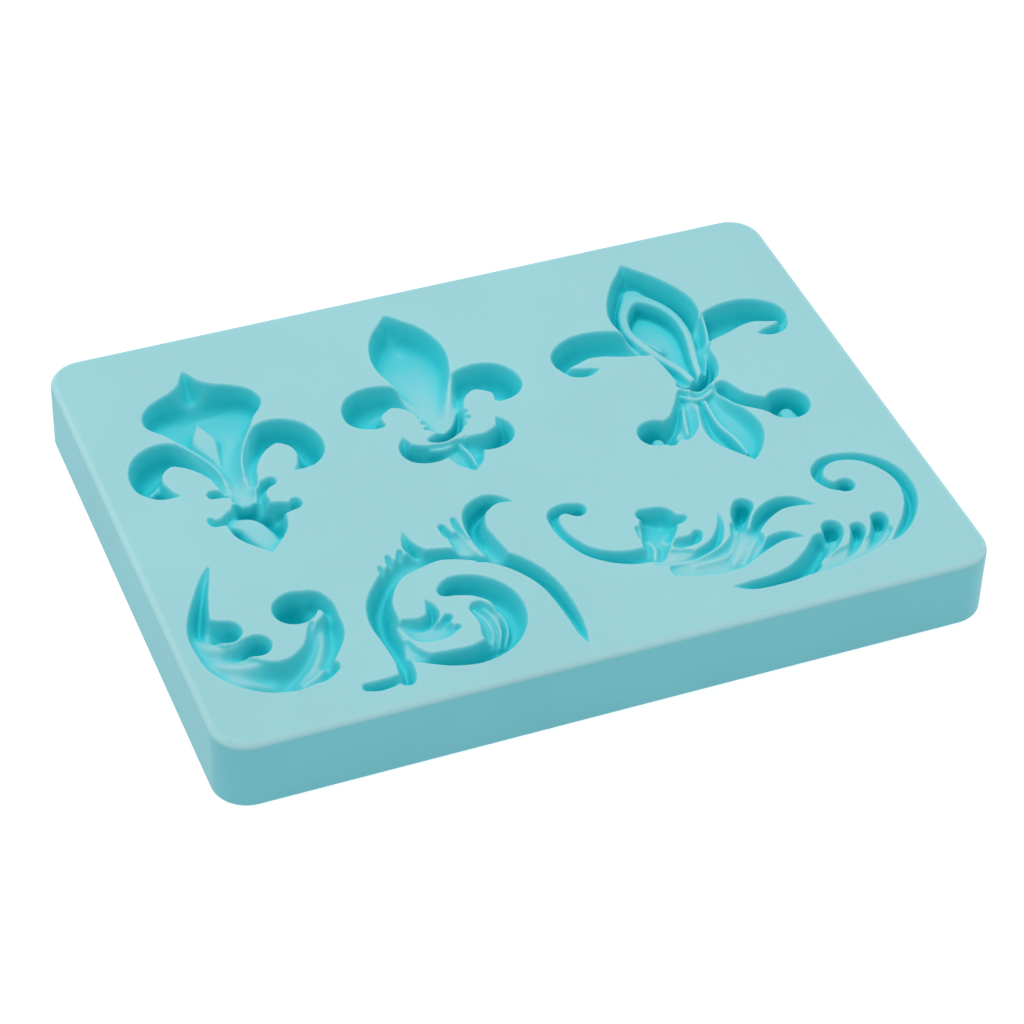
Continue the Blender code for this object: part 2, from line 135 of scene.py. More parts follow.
class Relief:
    """The depth below the top face over one ornament's patch of the slab, on an even grid."""

    def __init__(self, left, right, front, back):
        self.xs = np.arange(left, right, GRID)
        self.ys = np.arange(front, back, GRID)
        self.depth = np.full((len(self.ys), len(self.xs)), -OUTSIDE)

    def near(self, x, y, reach):
        """The part of the grid within reach of a point, and its distance from that point."""
        cols = slice(*np.searchsorted(self.xs, [x - reach, x + reach]))
        rows = slice(*np.searchsorted(self.ys, [y - reach, y + reach]))
        return (rows, cols), np.hypot(self.xs[cols] - x, self.ys[rows, None] - y)

    def carve(self, inward, floor):
        """Lowers the patch to a lobe whose wall eases into its floor."""
        wall = wall_depth(inward)
        floor = np.maximum(floor, LEAST_FLOOR)
        lobe = np.where(wall > 0, floor * np.tanh(wall / floor), np.maximum(wall, -OUTSIDE))
        softness = CREST_ROUNDING * np.clip(2 * np.minimum(self.depth, lobe), 0, 1)
        self.depth = softly_higher(self.depth, lobe, softness)

    def trough(self, *stations, rise=0.45):
        """A trough along stations (x, y, half width, depth). Its floor rises by a share to the wall."""
        inward = np.full(self.depth.shape, FAR_OUTSIDE)
        floor = np.zeros(self.depth.shape)
        for x, y, half_width, deep in smooth(stations):
            half_width = max(half_width, LEAST_HALF_WIDTH)
            place, away = self.near(x, y, half_width + 1.5)
            inward[place] = np.maximum(inward[place], rounded_inward(half_width, away))
            share = np.minimum(away / half_width, 1.0)
            floor[place] = np.maximum(floor[place], max(deep, LEAST_TROUGH) * (1 - rise * share ** 2))
        self.carve(inward, floor)

    def petal(self, axis, *stations, rise=0.4, valley=1.6):
        """A wide petal that stands along Y on its axis, with stations (y, half width, depth)."""
        run = smooth([(0.0, *station) for station in stations])[:, 1:]
        run = run[np.argsort(run[:, 0])]
        across = np.interp(self.ys, run[:, 0], run[:, 1])
        deep = np.interp(self.ys, run[:, 0], run[:, 2])
        beyond = np.maximum(run[0, 0] - self.ys, self.ys - run[-1, 0])
        across = np.where(beyond > 0, -beyond, across)
        slope = np.gradient(across, GRID)
        sideways = np.abs(self.xs[None, :] - axis)
        inward = rounded_inward(across[:, None], sideways) / np.sqrt(1 + slope[:, None] ** 2)
        share = np.clip(sideways / np.maximum(across[:, None], LEAST_HALF_WIDTH), 0, 1)
        self.carve(np.maximum(inward, FAR_OUTSIDE), deep[:, None] * (1 - rise * share ** valley))

    def rib(self, *stations, sharpness=2.0):
        """A raised rib along stations (x, y, half width, depth of its crest). It never deepens a floor."""
        lift = np.zeros(self.depth.shape)
        crest = np.zeros(self.depth.shape)
        for x, y, half_width, level in smooth(stations):
            half_width = max(half_width, LEAST_HALF_WIDTH)
            place, away = self.near(x, y, 2.2 * half_width)
            here = np.exp(-(away / half_width) ** (2.0 * sharpness))
            higher = here > lift[place]
            lift[place] = np.where(higher, here, lift[place])
            crest[place] = np.where(higher, level, crest[place])
        self.depth -= lift * np.maximum(self.depth - crest, 0)

    def soften(self, reach):
        """Smooths floors and the crests between lobes, as in a cast ornament, and leaves the rims alone."""
        share = np.clip(self.depth - SHARP_DEPTH, 0, 1) / 2
        for _ in range(rounds_to_spread(reach)):
            self.depth += share * (neighbours(self.depth) - self.depth)

    def painted_shading(self):
        """The painted shade at each place of the cavity, as a level for the colour: the share of the sky
        that the cavity's walls hide from it, and more in creases and on steep walls."""
        depth = np.maximum(self.depth, 0)
        shown = np.zeros(depth.shape)
        steps = [max(1, round(reach / GRID)) for reach in SKY_REACHES]
        for turn in np.arange(SKY_DIRECTIONS) * 2 * math.pi / SKY_DIRECTIONS:
            horizon = np.zeros(depth.shape)
            for step in steps:
                over, along = round(step * math.sin(turn)), round(step * math.cos(turn))
                rise = depth - np.roll(depth, (over, along), (0, 1))
                horizon = np.maximum(horizon, rise / (math.hypot(over, along) * GRID))
            shown += 1 / (1 + horizon ** 2)
        around = depth
        for _ in range(rounds_to_spread(CREASE_REACH)):
            around = 0.5 * around + 0.5 * neighbours(around)
        creased = np.clip(depth - around, 0, CREASE_LIMIT)
        along_y, along_x = np.gradient(depth, GRID)
        steep = 1 - 1 / np.sqrt(1 + along_x ** 2 + along_y ** 2)
        hidden = 1 - shown / SKY_DIRECTIONS
        return np.minimum(OPEN_TOP + hidden + CREASE_SHADE * creased + WALL_SHADE * steep, 1)

    def form(self):
        """The closed solid that fills the cavity, from its floor to above the top face."""
        bm = bmesh.new()
        last_row, last_col = len(self.ys) - 1, len(self.xs) - 1
        bmesh.ops.create_grid(bm, x_segments=last_col, y_segments=last_row, size=0.5)
        for vert in bm.verts:
            col = round((vert.co.x + 0.5) * last_col)
            row = round((vert.co.y + 0.5) * last_row)
            vert.co = (self.xs[col] * MM, self.ys[row] * MM, (THICKNESS - self.depth[row, col]) * MM)
        edge = [e for e in bm.edges if e.is_boundary]
        raised = bmesh.ops.extrude_edge_only(bm, edges=edge)["geom"]
        for vert in [v for v in raised if isinstance(v, bmesh.types.BMVert)]:
            vert.co.z = (THICKNESS + 3 * OUTSIDE) * MM
        bmesh.ops.holes_fill(bm, edges=[e for e in bm.edges if e.is_boundary], sides=0)
        bmesh.ops.recalc_face_normals(bm, faces=bm.faces)
        return bm


def both_sides(axis, tool, *stations, **options):
    """The same lobe or rib on both sides of a lily's axis."""
    for side in (-1, 1):
        tool(*[(axis + side * x, *rest) for x, *rest in stations], **options)


def spade_lily():
    axis = -42.4
    cut = Relief(axis - 18.5, axis + 18.5, -10.5, 40.5)
    cut.petal(axis, (38.9, 0.0, 0.8), (37.6, 0.8, 2.4), (36.0, 1.6, 4.2), (35.0, 2.5, 5.0),
              (34.0, 3.9, 5.5), (33.0, 6.0, 5.8), (32.0, 7.7, 6.0), (31.0, 8.8, 6.0), (30.0, 9.5, 6.0),
              (28.5, 10.0, 5.8), (27.0, 10.0, 5.5), (25.5, 9.2, 5.1), (24.2, 8.0, 4.7),
              (23.0, 7.2, 4.3), (21.0, 6.0, 3.8), (18.0, 4.2, 3.1), (15.0, 2.8, 2.5), (12.0, 2.0, 2.0),
              (9.0, 2.2, 1.7), (6.5, 2.4, 1.5), (4.4, 2.4, 1.5), rise=0.4, valley=1.6)
    both_sides(axis, cut.trough, (2.0, 8.0, 1.2, 1.2), (2.3, 9.6, 1.3, 1.6), (2.9, 11.8, 1.3, 2.2),
               (4.1, 14.6, 1.7, 3.0), (6.1, 17.4, 2.4, 4.0), (8.7, 19.1, 3.1, 5.2),
               (11.4, 18.2, 3.2, 5.5), (13.1, 15.8, 2.9, 5.4), (13.4, 12.9, 2.5, 5.0),
               (12.2, 10.7, 1.8, 4.4), (10.6, 9.5, 0.8, 3.4), (9.1, 8.8, 0.1, 1.2))
    cut.petal(axis, (4.9, 1.2, 1.2), (4.3, 2.6, 3.6), (3.4, 3.2, 5.2), (2.2, 4.3, 5.4), (0.8, 4.9, 5.2),
              (-1.0, 4.9, 4.9), (-3.0, 4.5, 4.6), (-5.0, 3.4, 4.0), (-6.8, 1.8, 2.8), (-8.7, 0.0, 0.8),
              rise=0.0)
    cut.trough((-47.0, 7.5, 1.2, 3.6), (-45.8, 7.2, 1.1, 3.4), (-44.8, 6.6, 0.8, 1.8), rise=0.1)
    cut.trough((-37.5, 7.6, 1.2, 4.2), (-38.8, 7.0, 1.2, 4.8), (-39.9, 5.4, 1.1, 5.0),
               (-40.2, 3.4, 1.4, 5.4), rise=0.1)
    cut.trough((-49.2, 1.9, 0.7, 3.0), (-48.8, 0.9, 1.0, 3.6), (-47.3, 0.9, 1.1, 3.8),
               (-45.4, 1.4, 1.8, 5.0), rise=0.1)
    cut.trough((-35.3, 1.8, 1.0, 3.4), (-35.5, 1.2, 1.3, 4.2), (-36.4, 0.9, 1.2, 4.4),
               (-38.4, 1.0, 1.8, 5.2), (-40.0, 1.2, 2.0, 5.4), rise=0.1)
    cut.trough((-42.8, 29.6, 0.5, 6.0), (-42.9, 27.6, 2.0, 6.5), (-42.9, 25.4, 3.0, 6.6),
               (-42.9, 22.0, 2.2, 6.0), (-42.8, 18.6, 1.2, 4.8), (-42.6, 15.6, 0.4, 3.4), rise=0.1)
    both_sides(axis, cut.rib, (7.4, 23.6, 0.7, 0.4), (5.0, 19.6, 0.9, 0.8), (3.0, 15.6, 1.1, 1.0),
               (1.9, 12.0, 0.9, 0.9), (1.6, 9.8, 0.6, 0.8), sharpness=1.0)
    cut.soften(0.3)
    cut.rib((-52.7, 14.8, 0.5, 1.2), (-54.1, 13.5, 0.7, 1.6), (-55.8, 12.0, 0.7, 1.4), sharpness=1.3)
    cut.rib((-45.2, 1.3, 1.5, 1.6), (-43.3, 0.3, 2.5, 1.7), (-42.3, -2.2, 2.7, 1.7),
            (-41.7, -4.6, 2.2, 1.6), (-41.6, -6.8, 1.2, 1.2), sharpness=3.0)
    cut.trough((-44.4, -3.4, 0.3, 2.4), (-43.4, -4.6, 0.4, 2.7), (-42.8, -6.0, 0.2, 1.8))
    cut.trough((-43.2, 2.4, 0.4, 3.4), (-42.6, 1.2, 0.25, 2.6))
    cut.trough((-41.4, 1.6, 0.4, 3.4), (-41.0, 0.2, 0.25, 2.4))
    cut.rib((-43.2, 28.6, 0.2, 3.4), (-43.3, 27.0, 0.8, 3.0), (-43.4, 25.3, 1.7, 2.8),
            (-43.4, 23.6, 2.3, 2.7), (-43.3, 21.2, 1.6, 2.6), (-43.1, 18.6, 0.8, 2.5),
            (-43.0, 16.2, 0.15, 2.5), sharpness=3.5)
    return cut


def plain_lily():
    axis = -6.1
    cut = Relief(axis - 17.5, axis + 17.5, -3.0, 43.5)
    cut.petal(axis, (41.8, 0.0, 0.8), (40.6, 1.2, 2.6), (39.2, 2.4, 3.9), (37.5, 3.9, 4.8),
              (35.0, 5.3, 5.3), (32.0, 6.2, 5.2), (29.5, 6.4, 4.9), (27.0, 6.1, 4.4), (24.5, 5.4, 3.9),
              (21.0, 4.6, 3.2), (17.0, 4.0, 2.3), (13.0, 3.6, 1.5), (10.0, 3.1, 1.1), rise=0.35,
              valley=2.0)
    both_sides(axis, cut.trough, (2.4, 11.5, 1.0, 1.2), (2.8, 14.5, 1.1, 1.6), (3.9, 17.8, 1.7, 2.4),
               (5.4, 20.2, 2.6, 3.4), (7.8, 21.2, 3.2, 4.8), (10.8, 20.4, 3.8, 5.4),
               (12.3, 18.0, 3.2, 5.2), (11.5, 16.0, 2.0, 4.6), (10.2, 14.8, 0.9, 3.4))
    both_sides(axis, cut.trough, (0.0, 5.6, 2.0, 1.8), (2.6, 5.5, 2.1, 2.4), (5.2, 5.3, 2.3, 3.8),
               (7.2, 6.1, 2.3, 5.0), (8.3, 7.8, 1.5, 5.0), (8.2, 9.3, 0.9, 3.8), (8.0, 10.6, 0.2, 1.6))
    cut.petal(axis + 0.2, (7.4, 2.8, 2.0), (5.0, 3.3, 2.2), (3.0, 3.1, 2.4), (1.2, 2.3, 2.2),
              (0.0, 1.2, 1.6), (-1.2, 0.0, 0.8), rise=0.2)
    cut.rib((-0.4, 24.6, 0.5, 0.3), (-2.2, 20.8, 0.9, 0.8), (-3.8, 17.2, 1.0, 1.0),
            (-5.2, 14.0, 0.9, 1.2), (-6.2, 11.6, 0.6, 1.6), sharpness=1.0)
    for height in (11.4, 12.9, 14.4):
        cut.trough((axis - 3.0, height, 0.7, 1.8), (axis - 3.6, height + 0.1, 0.65, 1.7))
        cut.trough((axis + 3.2, height + 0.6, 0.7, 2.4), (axis + 3.8, height + 0.7, 0.65, 2.2))
    cut.soften(0.35)
    cut.trough((-9.8, 8.6, 0.9, 4.4), (-8.0, 8.8, 1.5, 5.6), (-5.6, 10.2, 1.7, 6.0),
               (-4.0, 12.2, 1.5, 5.8), (-3.1, 14.6, 1.1, 5.2), (-2.7, 16.8, 0.5, 3.8), rise=0.0)
    cut.rib((-10.6, 6.9, 0.4, 0.7), (-8.2, 6.7, 0.5, 0.8), (-5.6, 7.9, 0.5, 0.8),
            (-3.8, 9.9, 0.45, 0.8), (-2.6, 12.4, 0.3, 0.7), sharpness=1.5)
    cut.trough((-7.9, 5.6, 0.4, 2.0), (-6.0, 6.2, 0.5, 2.4), (-4.6, 7.6, 0.4, 2.2))
    cut.rib((-5.6, 7.0, 0.5, 1.0), (-4.9, 3.6, 0.6, 0.9), (-5.0, 1.4, 0.5, 0.8), sharpness=1.0)
    return cut


def double_lily():
    axis = 36.8
    cut = Relief(axis - 22.5, axis + 22.5, -15.5, 43.0)
    cut.petal(axis, (41.5, 0.0, 0.8), (40.3, 1.0, 3.0), (38.8, 2.2, 5.0), (37.3, 3.5, 5.8),
              (34.8, 5.2, 6.0), (31.5, 6.9, 6.0), (28.3, 7.8, 5.9), (25.0, 7.6, 5.4), (21.5, 6.4, 4.8),
              (17.5, 5.1, 4.0), (13.0, 4.2, 2.6), (8.0, 3.8, 1.4), rise=0.1)
    cut.trough((40.6, 12.6, 0.8, 1.2), (40.9, 15.4, 1.1, 1.8), (42.0, 18.4, 1.8, 2.8))
    both_sides(axis, cut.trough, (4.6, 18.6, 2.0, 3.2), (8.3, 21.0, 3.4, 4.6), (12.0, 22.4, 3.5, 5.2),
               (15.4, 22.5, 3.3, 5.4), (18.2, 21.1, 2.8, 5.0), (19.6, 19.4, 1.6, 4.2))
    both_sides(axis, cut.trough, (19.9, 18.3, 0.9, 2.6), (18.9, 16.9, 1.2, 3.0), (17.4, 16.3, 1.3, 3.4),
               (15.9, 16.2, 1.0, 3.0), (14.3, 16.3, 0.2, 1.2))
    cut.trough((33.8, 5.0, 1.2, 1.6), (32.0, 1.6, 1.8, 1.5), (30.4, -1.6, 2.1, 1.6),
               (29.0, -3.8, 1.6, 1.4), rise=0.2)
    cut.trough((36.4, 4.6, 2.8, 1.8), (36.6, 1.0, 3.3, 2.2), (36.9, -2.4, 4.3, 2.6),
               (37.1, -5.4, 4.8, 3.0), (37.4, -8.4, 3.4, 3.0), (37.4, -11.0, 1.8, 2.8),
               (37.2, -13.4, 0.2, 1.0), rise=0.2)
    cut.trough((33.0, 5.8, 1.3, 3.0), (31.0, 2.6, 1.3, 3.6), (29.0, -0.2, 1.6, 4.4),
               (26.8, -1.6, 2.3, 5.0), (24.9, -2.0, 3.4, 5.6), rise=0.3)
    cut.trough((26.4, -3.2, 2.2, 5.4), (26.3, -4.6, 1.4, 4.8))
    cut.trough((39.8, 5.4, 1.6, 3.4), (41.4, 1.6, 1.8, 4.0), (44.4, -0.9, 1.9, 4.4),
               (46.4, -1.8, 2.8, 5.0), (48.0, -2.2, 4.0, 5.8), rise=0.3)
    cut.soften(0.35)
    cut.rib((36.7, 35.9, 1.9, 2.8), (34.6, 33.6, 1.4, 2.8), (32.9, 30.6, 1.2, 2.8),
            (32.2, 26.8, 1.15, 2.7), (32.8, 22.2, 1.1, 2.1), (34.0, 17.4, 1.0, 1.6),
            (35.4, 12.8, 0.9, 0.9), (36.0, 9.4, 0.8, 0.6), sharpness=2.5)
    cut.rib((36.7, 35.9, 1.9, 2.8), (39.2, 33.4, 1.3, 2.8), (40.9, 30.4, 1.1, 2.8),
            (41.6, 26.8, 1.0, 2.7), (41.0, 22.0, 0.95, 2.1), (39.6, 16.8, 0.9, 1.6),
            (38.4, 12.6, 0.8, 0.9), (37.8, 9.6, 0.7, 0.6), sharpness=2.5)
    cut.rib((44.5, 24.6, 0.4, 0.3), (43.8, 21.0, 0.7, 0.8), (42.6, 17.2, 0.8, 1.1),
            (41.2, 13.6, 0.7, 1.6), sharpness=1.0)
    cut.rib((34.2, 25.0, 0.9, 4.2), (34.8, 23.2, 1.3, 3.4), (35.6, 21.0, 0.9, 3.2), sharpness=1.0)
    cut.trough((33.4, 8.0, 0.9, 4.6), (34.8, 7.6, 1.5, 5.6), (37.2, 8.0, 1.8, 6.0),
               (39.4, 9.8, 1.7, 5.8), (40.6, 12.2, 1.3, 5.4), (41.4, 15.4, 0.6, 4.0), rise=0.0)
    cut.rib((32.7, 6.0, 0.4, 0.8), (35.0, 4.6, 0.5, 0.8), (37.4, 5.4, 0.5, 0.8), (39.5, 7.4, 0.5, 0.8),
            (41.3, 10.4, 0.45, 0.8), (42.4, 13.4, 0.3, 0.7), sharpness=1.5)
    cut.trough((34.6, 3.6, 0.3, 1.8), (37.2, 4.3, 0.4, 2.2), (39.6, 6.0, 0.4, 2.4))
    cut.rib((25.3, -1.9, 1.3, 2.4), (25.3, -3.6, 1.5, 2.3), (25.6, -5.0, 1.4, 2.0), sharpness=3.0)
    cut.rib((48.3, -1.8, 1.6, 2.4), (48.3, -3.6, 1.8, 2.3), (48.2, -5.4, 1.6, 2.0), sharpness=3.0)
    cut.rib((31.8, 3.2, 0.4, 0.6), (30.6, -0.4, 0.6, 0.6), (29.8, -3.4, 0.5, 0.5), sharpness=1.0)
    cut.rib((34.2, 3.0, 0.5, 0.7), (33.0, -1.4, 0.7, 0.8), (32.6, -5.6, 0.6, 0.7), sharpness=1.0)
    cut.rib((35.9, 3.6, 0.5, 0.8), (35.8, -2.2, 0.7, 1.0), (36.8, -6.4, 0.7, 1.0),
            (37.1, -10.6, 0.5, 0.8), sharpness=1.3)
    cut.trough((37.4, 1.2, 0.3, 2.6), (38.0, -2.6, 0.4, 3.2), (38.8, -6.0, 0.4, 3.4),
               (38.6, -9.6, 0.3, 2.8))
    return cut


def short_scroll():
    cut = Relief(-62.5, -35.5, -40.5, -6.8)
    cut.trough((-53.0, -8.7, 0.4, 2.6), (-54.3, -11.0, 0.9, 4.4), (-56.0, -14.6, 1.3, 5.6),
               (-57.6, -18.6, 1.8, 5.0), (-58.5, -22.2, 2.1, 3.0), (-58.2, -26.0, 2.4, 2.0),
               (-56.7, -29.6, 3.2, 2.0), (-53.8, -33.2, 3.4, 2.6), (-50.2, -35.1, 3.5, 3.8),
               (-46.4, -34.9, 3.6, 3.8), (-43.2, -32.2, 3.0, 3.0), (-40.6, -28.6, 2.8, 3.0),
               (-38.7, -24.8, 1.3, 3.4), (-38.9, -22.4, 1.5, 3.8), (-40.4, -20.6, 2.1, 4.4),
               (-42.4, -20.9, 2.7, 5.0))
    cut.trough((-43.0, -21.4, 3.6, 6.0), (-43.4, -21.7, 3.7, 6.2), rise=0.3)
    cut.trough((-57.0, -20.0, 0.9, 3.6), (-56.2, -21.8, 1.9, 3.6), (-55.4, -22.8, 2.5, 3.8),
               (-54.7, -23.2, 2.6, 4.0), rise=0.25)
    cut.trough((-57.0, -27.2, 1.4, 1.8), (-54.6, -27.4, 1.8, 2.4), (-52.6, -27.5, 2.2, 3.4),
               (-51.3, -27.5, 2.5, 4.2), rise=0.25)
    cut.trough((-46.8, -36.6, 1.8, 2.0), (-44.4, -36.4, 2.0, 2.4), (-42.3, -35.6, 1.5, 3.2))
    cut.trough((-42.0, -25.6, 0.6, 3.6), (-42.9, -28.0, 0.9, 5.0), (-43.8, -30.2, 0.8, 5.0),
               (-44.6, -32.0, 0.5, 3.6), rise=0.2)
    cut.rib((-59.4, -21.0, 0.9, 2.0), (-58.0, -24.6, 1.3, 1.0), (-55.6, -26.0, 1.0, 0.6),
            (-53.4, -25.7, 0.7, 0.5), sharpness=1.0)
    cut.rib((-57.8, -28.6, 1.0, 1.0), (-55.4, -30.2, 1.4, 0.8), (-52.8, -30.8, 1.3, 0.6),
            (-51.2, -30.4, 1.0, 0.5), sharpness=1.0)
    cut.rib((-56.8, -32.2, 0.9, 1.2), (-54.2, -33.8, 1.1, 1.3), (-51.4, -34.4, 1.1, 2.4), sharpness=1.0)
    cut.rib((-40.2, -23.6, 0.5, 1.6), (-40.8, -26.6, 0.8, 1.3), (-42.0, -30.0, 0.9, 1.2),
            (-44.2, -33.4, 1.1, 1.4), (-47.4, -35.8, 1.1, 2.0), sharpness=1.0)
    cut.rib((-47.4, -37.2, 0.7, 0.9), (-45.0, -36.2, 0.9, 0.8), (-43.4, -35.0, 0.7, 0.8), sharpness=1.0)
    cut.soften(0.4)
    return cut


def round_scroll():
    cut = Relief(-42.0, -0.8, -45.8, -5.0)
    cut.trough((-38.7, -41.6, 1.05, 3.2), (-37.0, -41.9, 1.25, 3.4), (-34.6, -41.7, 1.15, 3.2),
               (-33.2, -41.2, 0.9, 2.4))
    cut.trough((-32.6, -42.0, 1.5, 3.4), (-32.2, -40.8, 1.5, 3.0), (-31.9, -38.6, 1.4, 1.8))
    cut.trough((-31.9, -39.6, 1.3, 1.8), (-31.8, -36.6, 1.5, 2.8), (-31.6, -33.0, 2.0, 3.6),
               (-31.6, -29.0, 2.4, 4.4), (-31.0, -25.2, 2.2, 4.2), (-29.0, -21.8, 1.9, 3.6),
               (-26.4, -19.2, 1.9, 2.6), (-22.8, -17.6, 2.2, 2.4), (-19.2, -17.5, 1.6, 3.0),
               (-16.0, -18.3, 1.5, 3.2), (-12.2, -20.0, 1.7, 3.2), (-8.9, -22.4, 1.8, 3.6),
               (-6.4, -25.8, 1.7, 3.8), (-4.9, -29.6, 1.5, 4.0), (-4.3, -33.4, 1.4, 4.2),
               (-4.1, -37.4, 1.2, 4.4), (-4.2, -41.2, 0.85, 4.2), (-4.3, -43.9, 0.2, 2.4))
    cut.trough((-20.4, -16.8, 1.0, 2.4), (-22.0, -15.0, 1.3, 3.4), (-22.3, -13.0, 0.85, 3.4),
               (-22.1, -11.0, 0.25, 2.0))
    cut.trough((-23.8, -18.2, 0.7, 2.0), (-24.4, -16.6, 0.9, 2.8), (-24.0, -15.0, 0.65, 2.4))
    cut.trough((-25.4, -19.4, 0.7, 2.0), (-26.2, -17.4, 0.85, 2.8), (-26.2, -15.5, 0.6, 2.4))
    cut.trough((-27.2, -20.8, 0.6, 2.0), (-27.9, -19.0, 0.8, 2.8), (-28.2, -17.4, 0.5, 2.2))
    cut.trough((-12.4, -20.0, 1.8, 1.6), (-13.6, -17.4, 2.3, 1.3), (-14.6, -14.8, 1.5, 1.0), rise=0.2)
    cut.trough((-9.8, -20.8, 1.8, 2.2), (-10.6, -17.0, 1.9, 2.6), (-10.9, -13.6, 1.9, 3.8),
               (-9.8, -10.2, 2.0, 4.8), (-7.4, -8.5, 1.7, 4.8), (-5.2, -8.6, 1.0, 4.0),
               (-3.2, -9.9, 0.2, 1.8))
    cut.trough((-14.2, -16.0, 0.6, 1.6), (-15.5, -13.8, 0.95, 2.6), (-15.9, -11.8, 0.8, 2.6))
    cut.trough((-13.0, -15.6, 0.6, 1.6), (-13.6, -12.8, 0.75, 2.6), (-13.6, -10.8, 0.65, 2.6))
    cut.trough((-31.4, -33.6, 1.8, 1.0), (-30.0, -36.8, 1.5, 0.9), (-28.4, -38.4, 1.2, 1.2), rise=0.2)
    cut.trough((-29.6, -38.4, 0.9, 2.2), (-27.2, -39.2, 1.4, 3.2), (-24.4, -40.0, 1.9, 4.6),
               (-20.6, -40.4, 2.2, 5.0), (-16.8, -39.2, 2.4, 3.6), (-14.0, -36.4, 2.6, 2.8),
               (-12.6, -32.8, 2.5, 3.4), (-13.0, -29.2, 2.4, 3.8), (-15.4, -26.4, 2.5, 4.2),
               (-18.4, -25.2, 2.4, 4.4), (-20.4, -25.6, 1.6, 4.0))
    cut.trough((-17.0, -31.0, 1.7, 1.5), (-16.0, -34.0, 2.3, 1.6), (-16.8, -37.0, 2.1, 2.0), rise=0.2)
    cut.trough((-31.0, -31.0, 1.8, 1.6), (-28.4, -32.2, 2.2, 1.6), (-26.2, -33.2, 2.6, 1.6),
               (-23.8, -33.6, 2.1, 1.4), rise=0.2)
    cut.trough((-28.8, -30.4, 1.0, 2.2), (-26.4, -31.2, 1.3, 3.2), (-24.4, -30.4, 1.3, 3.8),
               (-23.9, -28.6, 1.0, 3.6), (-24.1, -26.8, 0.3, 1.8))
    cut.trough((-25.6, -33.2, 0.6, 1.8), (-23.8, -32.6, 0.9, 2.6), (-22.2, -31.4, 0.95, 3.0))
    cut.trough((-24.8, -35.2, 0.5, 1.6), (-23.2, -34.6, 0.75, 2.4), (-21.6, -33.8, 0.8, 2.6))
    cut.rib((-12.9, -12.6, 0.4, 0.6), (-12.9, -16.0, 0.7, 0.7), (-12.0, -19.2, 0.7, 0.9), sharpness=1.0)
    cut.rib((-29.8, -28.6, 0.6, 1.4), (-29.6, -32.0, 0.9, 0.7), (-28.4, -35.2, 1.0, 0.6), sharpness=1.0)
    cut.soften(0.25)
    for shift in (0.0, 1.4, 2.7):
        cut.rib((-17.6 + shift, -30.6, 0.3, 0.9), (-16.7 + shift, -33.0, 0.38, 1.1),
                (-16.6 + shift * 0.9, -35.8, 0.38, 1.4), (-17.6 + shift * 0.8, -38.2, 0.3, 2.2),
                sharpness=1.2)
    return cut


